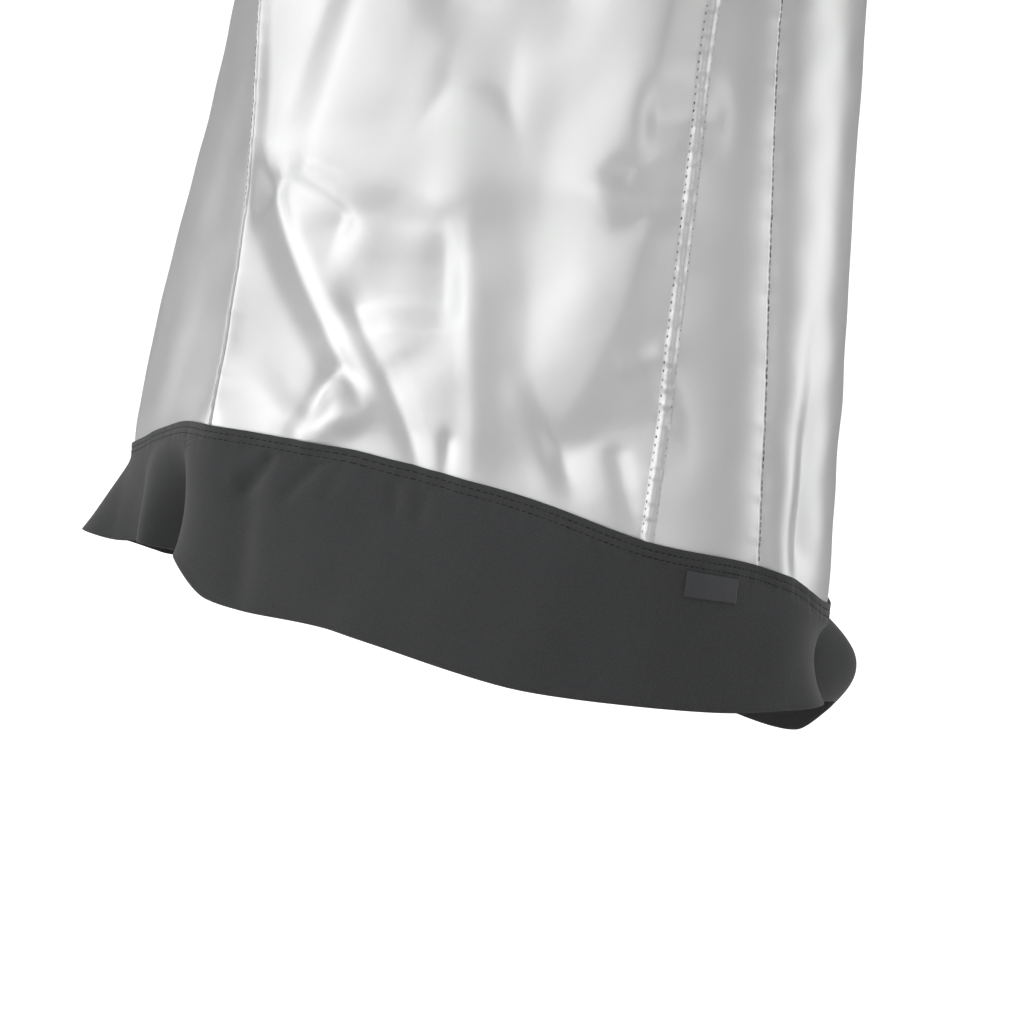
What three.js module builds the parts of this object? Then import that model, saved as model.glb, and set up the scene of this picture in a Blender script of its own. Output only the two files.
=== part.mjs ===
import * as THREE from "three";

// A slip-on cloth cover: silver front panel, gusset and back panel, black hem band, blank label.
// Millimetres, +Z up, front facing -Y, zero at the underside of the top.
// "rise" is measured up the cloth from the band's top edge, "turn" in degrees from the front.
const TOP_RISE = 1018;
const CLOTH = 1.5;
const BAND_CLOTH = 2;
const LABEL_CLOTH = 1;
const SEAM_GAP = 0.3;
const LAP = 12;
const BAND_RISE = 128;
const ROUNDNESS = 2.3;

// The top closes as a dome over the last sections, down to a straight seam.
const DOME_START = 940;
const DOME_HEIGHT = 80;
const DOME_SEAM_HALF = 40;

// Half sizes of the cover at each height.
const SECTIONS = [
  { rise: -128, left: 304, right: 312, front: 112, back: 108 },
  { rise: -60, left: 303, right: 306, front: 112, back: 110 },
  { rise: 0, left: 299, right: 299, front: 112, back: 111 },
  { rise: 90, left: 290, right: 287, front: 112, back: 111 },
  { rise: 200, left: 271, right: 271, front: 112, back: 109 },
  { rise: 330, left: 253, right: 253, front: 111, back: 105 },
  { rise: 450, left: 234, right: 236, front: 107, back: 99 },
  { rise: 560, left: 214, right: 217, front: 100, back: 92 },
  { rise: 680, left: 186, right: 189, front: 87, back: 81 },
  { rise: 800, left: 153, right: 155, front: 73, back: 69 },
  { rise: 880, left: 128, right: 129, front: 63, back: 60 },
  { rise: 940, left: 108, right: 108, front: 55, back: 53 },
];

// Where the three seams run, as turns at each height.
const SEAMS = [
  { rise: 0, leftSeam: -22.4, frontSeam: 43.3, backSeam: 66 },
  { rise: 90, leftSeam: -22.4, frontSeam: 44.2, backSeam: 64.6 },
  { rise: 190, leftSeam: -25.6, frontSeam: 45.2, backSeam: 63 },
  { rise: 320, leftSeam: -35.2, frontSeam: 46.5, backSeam: 61.4 },
  { rise: 560, leftSeam: -53, frontSeam: 56, backSeam: 66 },
  { rise: 800, leftSeam: -76, frontSeam: 73, backSeam: 77 },
  { rise: 860, leftSeam: -82, frontSeam: 79, backSeam: 81.4 },
  { rise: 900, leftSeam: -86, frontSeam: 84.5, backSeam: 84.5 },
  { rise: 940, leftSeam: -90, frontSeam: 90, backSeam: 90 },
];
const GUSSET_TIP = 860;

// The band's skirt: how far its top edge and hem drop, how far its hem and belly stand out,
// and how many degrees the upper end of a fold leans to the front.
const SKIRT = [
  { fold: "front middle", turn: 0, topDrop: 0, hemDrop: 128, reach: 1, belly: 0, lean: 0 },
  { fold: "front right", turn: 24, topDrop: 5, hemDrop: 130, reach: 2, belly: 0, lean: 0 },
  { fold: "gusset", turn: 44, topDrop: 15, hemDrop: 121, reach: 3, belly: 0, lean: 0 },
  { fold: "label", turn: 62, topDrop: 18, hemDrop: 113, reach: 5, belly: 1, lean: 0 },
  { fold: "right shoulder", turn: 76, topDrop: 25, hemDrop: 107, reach: 8, belly: 2, lean: 0 },
  { fold: "right ridge", turn: 90, topDrop: 40, hemDrop: 107, reach: 7, belly: -8, lean: 0 },
  { fold: "right valley", turn: 99, topDrop: 43, hemDrop: 111, reach: -17, belly: -9, lean: 0 },
  { fold: "right corner", turn: 109, topDrop: 40, hemDrop: 117, reach: 21, belly: 24, lean: 0 },
  { fold: "behind corner", turn: 125, topDrop: 59, hemDrop: 152, reach: 28, belly: 13, lean: 0 },
  { fold: "back right", turn: 150, topDrop: 63, hemDrop: 154, reach: 2, belly: 0, lean: 0 },
  { fold: "back middle", turn: 182, topDrop: 64, hemDrop: 146, reach: 6, belly: 0, lean: 0 },
  { fold: "back left", turn: 215, topDrop: 63, hemDrop: 150, reach: 2, belly: 0, lean: 0 },
  { fold: "left hollow", turn: 246, topDrop: 60, hemDrop: 150, reach: 8, belly: 0, lean: 0 },
  { fold: "behind tip", turn: 267, topDrop: 57, hemDrop: 147, reach: -10, belly: 0, lean: 0 },
  { fold: "left tip", turn: 285, topDrop: 53, hemDrop: 131, reach: 35, belly: 0, lean: 0 },
  { fold: "left facet", turn: 299, topDrop: 45, hemDrop: 128, reach: 8, belly: 0, lean: 0 },
  { fold: "small valley", turn: 309, topDrop: 36, hemDrop: 121, reach: -6, belly: 0, lean: 4 },
  { fold: "middle ridge", turn: 315, topDrop: 28, hemDrop: 118, reach: 2, belly: 3, lean: 6 },
  { fold: "deep valley", turn: 322.5, topDrop: 19, hemDrop: 120, reach: -28, belly: -4, lean: 8 },
  { fold: "front bulge", turn: 330.5, topDrop: 10, hemDrop: 115, reach: 8, belly: 0, lean: 8 },
  { fold: "front left", turn: 340, topDrop: 6, hemDrop: 136, reach: 8, belly: 0, lean: 3 },
  { fold: "front middle", turn: 360, topDrop: 0, hemDrop: 128, reach: 1, belly: 0, lean: 0 },
];
const DROP_FADE = 260;

// Folds of the front: each runs from one place to another, x across and rise up the cloth.
// "out" is its height off the cloth, "before" and "after" the widths of its two sides, "fade" how
// far it runs on past its ends, and "crisp" how flat its sides are, from 0 (round) to 1.
const FOLDS = [
  { fold: "sag", x1: 92, rise1: 345, x2: 118, rise2: -10, bow: 0, out: -6, before: 130, after: 72, fade: 20, crisp: 0.6 },
  { fold: "upper ridge", x1: -54, rise1: 345, x2: -80, rise2: 196, bow: 0, out: 6, before: 36, after: 48, fade: 14, crisp: 0.5 },
  { fold: "upper foot", x1: -92, rise1: 345, x2: -117, rise2: 189, bow: 0, out: -5, before: 42, after: 38, fade: 15, crisp: 0.4 },
  { fold: "hollow crest", x1: -106, rise1: 178, x2: 20, rise2: 156, bow: -12, out: 4, before: 26, after: 50, fade: 34, crisp: 0.5 },
  { fold: "pinch", x1: -106, rise1: 175, x2: -50, rise2: 158, bow: 2, out: -5.5, before: 34, after: 10, fade: 14, crisp: 0.6 },
  { fold: "left hollow", x1: -110, rise1: 175, x2: -40, rise2: 40, bow: -6, out: -4, before: 46, after: 80, fade: 20, crisp: 0 },
  { fold: "long valley", x1: -112, rise1: 166, x2: -4, rise2: 32, bow: -6.7, out: -3, before: 14, after: 13, fade: 10, crisp: 0.6 },
  { fold: "long shoulder", x1: -128, rise1: 153, x2: -20, rise2: 19, bow: -6, out: 4, before: 40, after: 19, fade: 12, crisp: 0.6 },
  { fold: "long ridge", x1: -95, rise1: 168, x2: -5, rise2: 58, bow: -6.5, out: 2.5, before: 14, after: 60, fade: 15, crisp: 0.4 },
  { fold: "hollow", x1: -42, rise1: 150, x2: -22, rise2: 100, bow: 0, out: -3.5, before: 40, after: 60, fade: 16, crisp: 0.3 },
  { fold: "lens", x1: 36, rise1: 158, x2: 42, rise2: 112, bow: 0, out: -7, before: 60, after: 22, fade: 18, crisp: 0.5 },
  { fold: "second valley", x1: -27, rise1: 94, x2: 48, rise2: 0, bow: 3, out: -3.6, before: 12, after: 18, fade: 20, crisp: 0.5 },
  { fold: "left petal", x1: -68, rise1: 15, x2: -52, rise2: 4, bow: 0, out: 6.5, before: 26, after: 18, fade: 40, crisp: 0.6 },
  { fold: "band pinch", x1: -34, rise1: 48, x2: -52, rise2: 2, bow: 0, out: -4, before: 12, after: 16, fade: 8, crisp: 0.5 },
  { fold: "right petal", x1: -46, rise1: 6, x2: -2, rise2: 28, bow: 3, out: 3.5, before: 16, after: 22, fade: 10, crisp: 0.5 },
  { fold: "petal top", x1: -28, rise1: 44, x2: -3, rise2: 29, bow: 0, out: 3, before: 24, after: 10, fade: 8, crisp: 0.5 },
  { fold: "dome top", x1: 25, rise1: 251, x2: 67, rise2: 250, bow: 9, out: -1.5, before: 14, after: 40, fade: 14, crisp: 0.3 },
  { fold: "dome swell", x1: 44, rise1: 240, x2: 50, rise2: 190, bow: 0, out: 1, before: 24, after: 26, fade: 20, crisp: 0 },
  { fold: "middle ridge", x1: 38, rise1: 170, x2: 92, rise2: 0, bow: 9, out: 1.7, before: 13, after: 18, fade: 12, crisp: 0.5 },
  { fold: "middle valley", x1: 100, rise1: 150, x2: 134, rise2: 0, bow: 4, out: -3, before: 38, after: 44, fade: 40, crisp: 0.5 },
  { fold: "broad ridge", x1: 181, rise1: 174, x2: 150, rise2: 60, bow: 6, out: 4.5, before: 46, after: 24, fade: 22, crisp: 0.6 },
  { fold: "seam ridge", x1: 171, rise1: 345, x2: 165, rise2: 198, bow: 0, out: 6, before: 56, after: 22, fade: 16, crisp: 0.6 },
  { fold: "facet", x1: 150, rise1: 35, x2: 208, rise2: 76, bow: 0, out: -8, before: 36, after: 52, fade: 12, crisp: 0.8 },
  { fold: "seam dart", x1: 176, rise1: 243, x2: 206, rise2: 249, bow: 0, out: -5, before: 30, after: 26, fade: 9, crisp: 0.8 },
  { fold: "diamond", x1: 168, rise1: 214, x2: 194, rise2: 208, bow: 0, out: -3, before: 18, after: 16, fade: 10, crisp: 0.7 },
  { fold: "wedge", x1: 162, rise1: 208, x2: 174, rise2: 184, bow: 0, out: -4, before: 18, after: 24, fade: 9, crisp: 0.6 },
  { fold: "top hollow", x1: 8, rise1: 306, x2: 104, rise2: 309, bow: -8, out: -4, before: 30, after: 34, fade: 8, crisp: 0.7 },
  { fold: "upper left", x1: -70, rise1: 880, x2: -120, rise2: 440, bow: 0, out: 5, before: 26, after: 34, fade: 40, crisp: 0 },
  { fold: "upper middle", x1: -10, rise1: 820, x2: 14, rise2: 400, bow: 8, out: -5, before: 30, after: 36, fade: 40, crisp: 0 },
  { fold: "upper right", x1: 62, rise1: 900, x2: 118, rise2: 430, bow: 0, out: 5, before: 34, after: 26, fade: 40, crisp: 0 },
];

// Upright folds of the sides and back: each keeps to one turn between two heights, with the widths
// of its two sides in degrees, and goes on down the band (1) or dies at its top (0).
const BACK_FOLDS = [
  { fold: "right roll", turn: 84, low: -80, high: 620, out: 1.5, before: 8, after: 8, inBand: 1 },
  { fold: "right crease", turn: 78.5, low: 10, high: 190, out: -8, before: 4, after: 10, inBand: 0 },
  { fold: "right hollow", turn: 118, low: -80, high: 520, out: -9, before: 14, after: 14, inBand: 1 },
  { fold: "back right", turn: 150, low: -80, high: 640, out: 8, before: 13, after: 13, inBand: 1 },
  { fold: "back middle", turn: 186, low: -80, high: 560, out: -9, before: 15, after: 15, inBand: 1 },
  { fold: "back left", turn: 220, low: -80, high: 700, out: 8, before: 13, after: 13, inBand: 1 },
  { fold: "left hollow", turn: 256, low: -80, high: 480, out: -6, before: 12, after: 12, inBand: 1 },
  { fold: "left side", turn: 290, low: 20, high: 260, out: 4, before: 11, after: 11, inBand: 0 },
];

// The cloth is bent at each seam, out or in, and the bend is rounder in the band.
const SEAM_BENDS = [
  { seam: "leftSeam", out: 20, spread: 11 },
  { seam: "frontSeam", out: 14, spread: 18 },
  { seam: "backSeam", out: -5, spread: 6 },
];
const BEND_FADE = 700;
const BEND_ROUND = 0.6;
const BAND_ROUND = 11;

// The front's folds die away at the left seam, over the gusset and, in part, at the stiff band.
const SEAM_EASE = 3;
const GUSSET_EASE = 9;
const BAND_EASE = 24;
const BAND_HOLD = 0.15;
const FLAT = 0.01;
const FOLD_ROUND = 0.02;

const FRONT_COLUMNS = 40;
const GUSSET_COLUMNS = 5;
const BACK_COLUMNS = 27;
const BACK_CROWDING = 0.115;
const LOW_ROWS = 27;
const LOW_TOP = 330;
const HIGH_RISES = [385, 445, 510, 580, 650, 720, 790, GUSSET_TIP, 900];
const DOME_ROWS = 5;
const BAND_RISES = [-BAND_RISE, -104, -76, -46, -LAP, 0];
const LABEL = { turn: 55.4, spread: 5, top: -12, bottom: -33, columns: 6, rows: 3 };

// A smooth value between the rows of a table.
function between(table, key, at, column) {
  const last = table.length - 1;
  const low = table.findIndex((row) => row[key] > at) - 1;
  if (at <= table[0][key]) return table[0][column];
  if (low < 0) return table[last][column];
  const slope = (k) => {
    const a = table[Math.max(k - 1, 0)];
    const b = table[Math.min(k + 1, last)];
    return (b[column] - a[column]) / (b[key] - a[key]);
  };
  const span = table[low + 1][key] - table[low][key];
  const t = (at - table[low][key]) / span;
  const start = table[low][column];
  const end = table[low + 1][column];
  const ease = t * t * (3 - 2 * t);
  const leave = t * (1 - t) * (1 - t) * span * slope(low);
  const arrive = t * t * (1 - t) * span * slope(low + 1);
  return start + (end - start) * ease + leave - arrive;
}

const smooth = (t) => THREE.MathUtils.smoothstep(t, 0, 1);
const arch = (t) => 4 * t * (1 - t);
const rounded = (value) => Math.sign(value) * Math.abs(value) ** (2 / ROUNDNESS);
const wholeTurn = (turn) => ((turn % 360) + 360) % 360;

// A fold across its run: a soft round form and one with flat sides, mixed.
function foldProfile(aside, crisp) {
  const side = 1 - Math.sqrt(aside * aside + FOLD_ROUND);
  const flat = (side + Math.sqrt(side * side + FOLD_ROUND)) / 2;
  return THREE.MathUtils.lerp(Math.exp(-aside * aside), flat, crisp);
}

// How high a fold stands at a point of the front.
function foldHeight(fold, x, rise) {
  const runX = fold.x2 - fold.x1;
  const runRise = fold.rise2 - fold.rise1;
  const length = Math.hypot(runX, runRise);
  const along = ((x - fold.x1) * runX + (rise - fold.rise1) * runRise) / length / length;
  const bowed = fold.bow * arch(along);
  const aside = ((rise - fold.rise1) * runX - (x - fold.x1) * runRise) / length - bowed;
  const width = aside < 0 ? fold.before : fold.after;
  const past = Math.max(0, -along, along - 1) * length;
  const fade = Math.exp(-((past / fold.fade) ** 2));
  return fold.out * fade * foldProfile(aside / width, fold.crisp);
}

// How high the back's folds and the seams' bends stand at a turn and height.
function backHeight(turn, rise) {
  let height = 0;
  for (const fold of BACK_FOLDS) {
    const turned = wholeTurn(turn) - fold.turn;
    const aside = turned / (turned < 0 ? fold.before : fold.after);
    const fade = 1 - smooth((rise - fold.low) / (fold.high - fold.low));
    const share = Math.max(fold.inBand, smooth((rise / BAND_EASE + 1) / 2));
    height += fold.out * fade * share * Math.exp(-aside * aside);
  }
  for (const bend of SEAM_BENDS) {
    const seam = between(SEAMS, "rise", Math.max(rise, 0), bend.seam);
    const aside = wholeTurn(turn - seam + 180) - 180;
    const edge = BEND_ROUND + BAND_ROUND * smooth((BAND_EASE - rise) / (3 * BAND_EASE));
    const away = Math.hypot(aside, edge) - edge;
    const fade = 1 - smooth(Math.max(rise / BEND_FADE, -rise / BAND_RISE));
    height += bend.out * fade * Math.exp(-away / bend.spread);
  }
  return height;
}

// The cover without its folds.
function plainPoint(turn, rise) {
  const angle = THREE.MathUtils.degToRad(turn);
  const around = wholeTurn(turn);
  const topDrop = between(SKIRT, "turn", around, "topDrop");
  const below = Math.max(0, -rise - LAP) / (BAND_RISE - LAP);
  const dome = THREE.MathUtils.clamp((rise - DOME_START) / DOME_HEIGHT, 0, 1) * (Math.PI / 2);
  let height = Math.min(rise, DOME_START) + DOME_HEIGHT * Math.sin(dome);
  height -= topDrop * (1 - smooth(Math.max(rise, 0) / DROP_FADE));
  let reach = 0;
  if (rise < -LAP) {
    const hemDrop = between(SKIRT, "turn", around, "hemDrop");
    height = THREE.MathUtils.lerp(-topDrop - LAP, -hemDrop, below);
    const leaning = around - between(SKIRT, "turn", around, "lean") * (1 - below);
    reach = between(SKIRT, "turn", leaning, "reach") * below;
    reach += between(SKIRT, "turn", leaning, "belly") * arch(below);
  }
  const shrink = Math.cos(dome);
  const side = Math.sin(angle) < 0 ? "left" : "right";
  const face = Math.cos(angle) < 0 ? "back" : "front";
  const level = Math.min(height, DOME_START);
  let half = between(SECTIONS, "rise", level, side);
  let depth = between(SECTIONS, "rise", level, face);
  if (dome > 0) half = DOME_SEAM_HALF + (half - DOME_SEAM_HALF) * shrink;
  depth *= shrink;
  const x = half * rounded(Math.sin(angle));
  const y = -depth * rounded(Math.cos(angle));
  const outward = new THREE.Vector2(x / half ** 2, depth > 1 ? y / depth ** 2 : 0).normalize();
  return new THREE.Vector3(x + outward.x * reach, y + outward.y * reach, height - TOP_RISE);
}

// The direction off the cloth, from two short steps over a surface.
function normalOf(surface, turn, rise) {
  const STEP_TURN = 0.4;
  const STEP_RISE = 1.5;
  const highest = DOME_START + DOME_HEIGHT;
  const up = Math.min(rise + STEP_RISE, highest);
  const across = surface(turn + STEP_TURN, rise).sub(surface(turn - STEP_TURN, rise));
  const upward = surface(turn, up).sub(surface(turn, Math.max(rise - STEP_RISE, -BAND_RISE)));
  const normal = across.cross(upward);
  return normal.length() > 0 ? normal.normalize() : normal.set(0, 0, 1);
}

// The cover with its folds.
function foldedPoint(turn, rise) {
  const point = plainPoint(turn, rise);
  let height = backHeight(turn, rise);
  const level = Math.max(rise, 0);
  const signed = wholeTurn(turn + 180) - 180;
  const fromLeft = (signed - between(SEAMS, "rise", level, "leftSeam")) / SEAM_EASE;
  const pastFront = (signed - between(SEAMS, "rise", level, "frontSeam")) / GUSSET_EASE;
  if (fromLeft > 0 && pastFront < 1) {
    const held = THREE.MathUtils.lerp(BAND_HOLD, 1, smooth((rise / BAND_EASE + 1) / 2));
    const near = smooth(fromLeft) * (1 - smooth(pastFront)) * held;
    for (const fold of FOLDS) height += near * foldHeight(fold, point.x, rise);
  }
  if (Math.abs(height) < FLAT) return point;
  return point.addScaledVector(normalOf(plainPoint, turn, rise), height);
}

// A sheet's point at a height off the cloth.
function offCloth(turn, rise, height) {
  return foldedPoint(turn, rise).addScaledVector(normalOf(foldedPoint, turn, rise), height);
}

// The cloth's point in the middle of a cell, where a cell is split along its fold.
function cellMiddle(turns, rises, i, j, height) {
  const low = turns(rises[j]);
  const high = turns(rises[j + 1]);
  const next = (i + 1) % low.length;
  const wrap = next === 0 ? 360 : 0;
  const turn = (low[i] + low[next] + high[i] + high[next] + 2 * wrap) / 4;
  return offCloth(turn, (rises[j] + rises[j + 1]) / 2, height);
}

// A closed sheet from its grid of turns and rises, with its outer and inner heights off the cloth.
// In the dome a sheet keeps to its own half: -1 is the front, 1 the back.
function sheetGeometry(turns, rises, outer, inner, half, loop) {
  const columns = turns(rises[0]).length;
  const positions = [];
  for (const height of [outer, inner]) {
    for (const rise of rises) {
      for (const turn of turns(rise)) {
        const point = offCloth(turn, rise, height);
        const inDome = rise >= DOME_START && half !== 0;
        const y = inDome ? half * Math.max(half * point.y, SEAM_GAP / 2) : point.y;
        positions.push(point.x, y, point.z);
      }
    }
  }
  const rows = rises.length;
  const at = (i, j, face) => face * rows * columns + j * columns + (i % columns);
  const corner = (index) => new THREE.Vector3().fromArray(positions, index * 3);
  const faces = [];
  const quad = (a, b, c, d) => faces.push(a, b, c, a, c, d);
  const spans = loop ? columns : columns - 1;
  for (let i = 0; i < spans; i++) {
    for (let j = 0; j < rows - 1; j++) {
      const rim = [at(i, j, 0), at(i + 1, j, 0), at(i + 1, j + 1, 0), at(i, j + 1, 0)];
      const back = rim.map((index) => index + rows * columns);
      const middle = cellMiddle(turns, rises, i, j, outer);
      const [a, b, c, d] = rim.map(corner);
      const bent = middle.distanceTo(a.lerp(c, 0.5)) > middle.distanceTo(b.lerp(d, 0.5));
      const first = bent ? 1 : 0;
      quad(...[0, 1, 2, 3].map((k) => rim[(k + first) % 4]));
      quad(...[0, 3, 2, 1].map((k) => back[(k + first) % 4]));
    }
    quad(at(i, 0, 0), at(i, 0, 1), at(i + 1, 0, 1), at(i + 1, 0, 0));
    const top = rows - 1;
    quad(at(i, top, 0), at(i + 1, top, 0), at(i + 1, top, 1), at(i, top, 1));
  }
  for (let j = 0; !loop && j < rows - 1; j++) {
    const end = columns - 1;
    quad(at(0, j, 0), at(0, j + 1, 0), at(0, j + 1, 1), at(0, j, 1));
    quad(at(end, j, 0), at(end, j, 1), at(end, j + 1, 1), at(end, j + 1, 0));
  }
  const geometry = new THREE.BufferGeometry();
  geometry.setAttribute("position", new THREE.Float32BufferAttribute(positions, 3));
  geometry.setIndex(faces);
  geometry.computeVertexNormals();
  return geometry;
}

// The turns of a panel's columns at a height, kept half a seam gap inside its two seams.
function panelTurns(rise, fromSeam, toSeam, wrap, columns, crowding) {
  const level = Math.max(rise, 0);
  const girthPerTurn = plainPoint(1, level).distanceTo(plainPoint(0, level));
  const edge = SEAM_GAP / 2 / girthPerTurn;
  const from = between(SEAMS, "rise", level, fromSeam) + edge;
  const to = between(SEAMS, "rise", level, toSeam) + wrap - edge;
  const turns = [];
  for (let i = 0; i <= columns; i++) {
    const part = i / columns;
    const crowded = part - crowding * Math.sin(2 * Math.PI * part);
    turns.push(THREE.MathUtils.lerp(from, to, crowded));
  }
  return turns;
}

const frontTurns = (rise) => panelTurns(rise, "leftSeam", "frontSeam", 0, FRONT_COLUMNS, 0);
const gussetTurns = (rise) => panelTurns(rise, "frontSeam", "backSeam", 0, GUSSET_COLUMNS, 0);
const backTurns = (rise) =>
  panelTurns(rise, "backSeam", "leftSeam", 360, BACK_COLUMNS, BACK_CROWDING);
const bandTurns = (rise) => [
  ...frontTurns(rise).slice(0, -1),
  ...gussetTurns(rise).slice(0, -1),
  ...backTurns(rise).slice(0, -1),
];
const labelTurns = () =>
  Array.from({ length: LABEL.columns + 1 }, (_, i) =>
    LABEL.turn + LABEL.spread * (i / LABEL.columns - 0.5) * 2,
  );

const lowRises = Array.from({ length: LOW_ROWS + 1 }, (_, j) => (LOW_TOP * j) / LOW_ROWS);
const domeRises = Array.from(
  { length: DOME_ROWS + 1 },
  (_, j) => DOME_START + (DOME_HEIGHT * j) / DOME_ROWS,
);
const panelRises = [-LAP, ...lowRises, ...HIGH_RISES, ...domeRises];
const gussetRises = panelRises.filter((rise) => rise <= GUSSET_TIP);
const labelRises = Array.from({ length: LABEL.rows + 1 }, (_, j) =>
  THREE.MathUtils.lerp(LABEL.bottom, LABEL.top, j / LABEL.rows),
);

const silver = new THREE.MeshStandardMaterial({ color: 0xc9cbca, roughness: 0.42, metalness: 0.6 });
const black = new THREE.MeshStandardMaterial({ color: 0x2a2b2d, roughness: 0.9, metalness: 0 });
const grey = new THREE.MeshStandardMaterial({ color: 0x3b3c3f, roughness: 0.8, metalness: 0 });

const cover = new THREE.Group();
function addSheet(name, geometry, material) {
  const mesh = new THREE.Mesh(geometry, material);
  mesh.name = name;
  cover.add(mesh);
}

// Front panel: the wide silver front, sewn to the gusset on its right and the back on its left.
addSheet("front_panel", sheetGeometry(frontTurns, panelRises, 0, -CLOTH, -1, false), silver);

// Gusset: a narrow silver gore up the right side, ending in a point.
addSheet("right_gusset", sheetGeometry(gussetTurns, gussetRises, 0, -CLOTH, 0, false), silver);

// Back panel: wraps round both ends and the back, and meets the front along the top seam.
addSheet("back_panel", sheetGeometry(backTurns, panelRises, 0, -CLOTH, 1, false), silver);

// Hem band: a black loop lapped over the silver's lower edge, flaring at both ends.
const bandInner = SEAM_GAP * 2;
const bandOuter = bandInner + BAND_CLOTH;
addSheet("hem_band", sheetGeometry(bandTurns, BAND_RISES, bandOuter, bandInner, 0, true), black);

// Label: a small blank patch sewn on the band.
const labelInner = bandOuter + SEAM_GAP;
const labelOuter = labelInner + LABEL_CLOTH;
addSheet("label", sheetGeometry(labelTurns, labelRises, labelOuter, labelInner, 0, false), grey);

export default cover;
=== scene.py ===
import math
from collections import namedtuple

import bpy
import numpy as np
from mathutils import Matrix


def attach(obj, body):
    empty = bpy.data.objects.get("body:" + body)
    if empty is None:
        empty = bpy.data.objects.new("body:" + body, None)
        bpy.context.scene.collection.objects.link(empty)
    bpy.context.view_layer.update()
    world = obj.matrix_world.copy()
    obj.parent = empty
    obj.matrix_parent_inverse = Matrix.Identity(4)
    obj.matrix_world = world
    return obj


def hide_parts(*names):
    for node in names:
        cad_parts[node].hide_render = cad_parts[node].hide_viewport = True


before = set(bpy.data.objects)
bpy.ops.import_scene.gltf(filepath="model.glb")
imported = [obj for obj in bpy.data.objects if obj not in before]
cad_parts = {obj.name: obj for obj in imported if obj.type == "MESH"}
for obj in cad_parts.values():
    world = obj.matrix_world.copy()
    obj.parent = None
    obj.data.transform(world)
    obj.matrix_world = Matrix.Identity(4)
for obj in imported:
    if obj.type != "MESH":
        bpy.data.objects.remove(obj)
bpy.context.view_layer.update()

# Front panel: the wide silver front, cut from coated woven cloth, sewn to the gusset on its
# right and to the back on its left. The whole cover hangs from its closed top, so the form
# that every sheet follows is set here, in millimetres.

# "rise" goes up the cloth from the band's top edge, "turn" goes round it from the front, in
# degrees, to the right. The frame's origin is TOP_RISE above that edge, under the top.
MM = 0.001
TINY = 1e-9
TOP_RISE = 1018
LAP = 12
BAND_RISE = 128
ROUNDNESS = 2.3
SILVER_CLOTH = 0.8
SEAM_GAP = 0.3
DOME_START = 940
DOME_HEIGHT = 80
DOME_SEAM_HALF = 40
DROP_FADE = 260

# Sections of the cover by height: its half widths and its depths from the middle.
Section = namedtuple("Section", "rise left right front back")
SECTIONS = [
    Section(-128, 304, 312, 112, 108),
    Section(-60, 303, 306, 112, 110),
    Section(0, 299, 299, 112, 111),
    Section(90, 290, 287, 112, 111),
    Section(200, 271, 271, 112, 109),
    Section(330, 253, 253, 111, 105),
    Section(450, 234, 236, 107, 99),
    Section(560, 214, 217, 100, 92),
    Section(680, 186, 189, 87, 81),
    Section(800, 153, 155, 73, 69),
    Section(880, 128, 129, 63, 60),
    Section(940, 108, 108, 55, 53),
]

# The turns at which the three seams run up the cover.
Seam = namedtuple("Seam", "rise left front back")
SEAMS = [
    Seam(0, -22.4, 43.3, 66),
    Seam(90, -22.4, 44.2, 64.6),
    Seam(190, -25.6, 45.2, 63),
    Seam(320, -35.2, 46.5, 61.4),
    Seam(560, -53, 56, 66),
    Seam(800, -76, 73, 77),
    Seam(860, -82, 79, 81.4),
    Seam(900, -86, 84.5, 84.5),
    Seam(940, -90, 90, 90),
]

# How far the band's top edge and hem drop round the cover, how far the hem and the middle
# stand out, and how many degrees the upper end of a fold leans to the front.
Skirt = namedtuple("Skirt", "turn top_drop hem_drop reach belly lean")
SKIRT = {
    "front middle": Skirt(0, 0, 128, 1, 0, 0),
    "front right": Skirt(24, 5, 130, 2, 0, 0),
    "gusset": Skirt(44, 15, 121, 3, 0, 0),
    "label": Skirt(62, 18, 113, 5, 1, 0),
    "right shoulder": Skirt(76, 25, 107, 8, 2, 0),
    "right ridge": Skirt(90, 40, 107, 7, -8, 0),
    "right valley": Skirt(99, 43, 111, -17, -9, 0),
    "right corner": Skirt(109, 40, 117, 21, 24, 0),
    "behind corner": Skirt(125, 59, 152, 28, 13, 0),
    "back right": Skirt(150, 63, 154, 2, 0, 0),
    "back middle": Skirt(182, 64, 146, 6, 0, 0),
    "back left": Skirt(215, 63, 150, 2, 0, 0),
    "left hollow": Skirt(246, 60, 150, 8, 0, 0),
    "behind tip": Skirt(267, 57, 147, -10, 0, 0),
    "left tip": Skirt(285, 53, 131, 35, 0, 0),
    "left facet": Skirt(299, 45, 128, 8, 0, 0),
    "small valley": Skirt(309, 36, 121, -6, 0, 4),
    "middle ridge": Skirt(315, 28, 118, 2, 3, 6),
    "deep valley": Skirt(322.5, 19, 120, -28, -4, 8),
    "front bulge": Skirt(330.5, 10, 115, 8, 0, 8),
    "front left": Skirt(340, 6, 136, 8, 0, 3),
    "front again": Skirt(360, 0, 128, 1, 0, 0),
}

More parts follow.
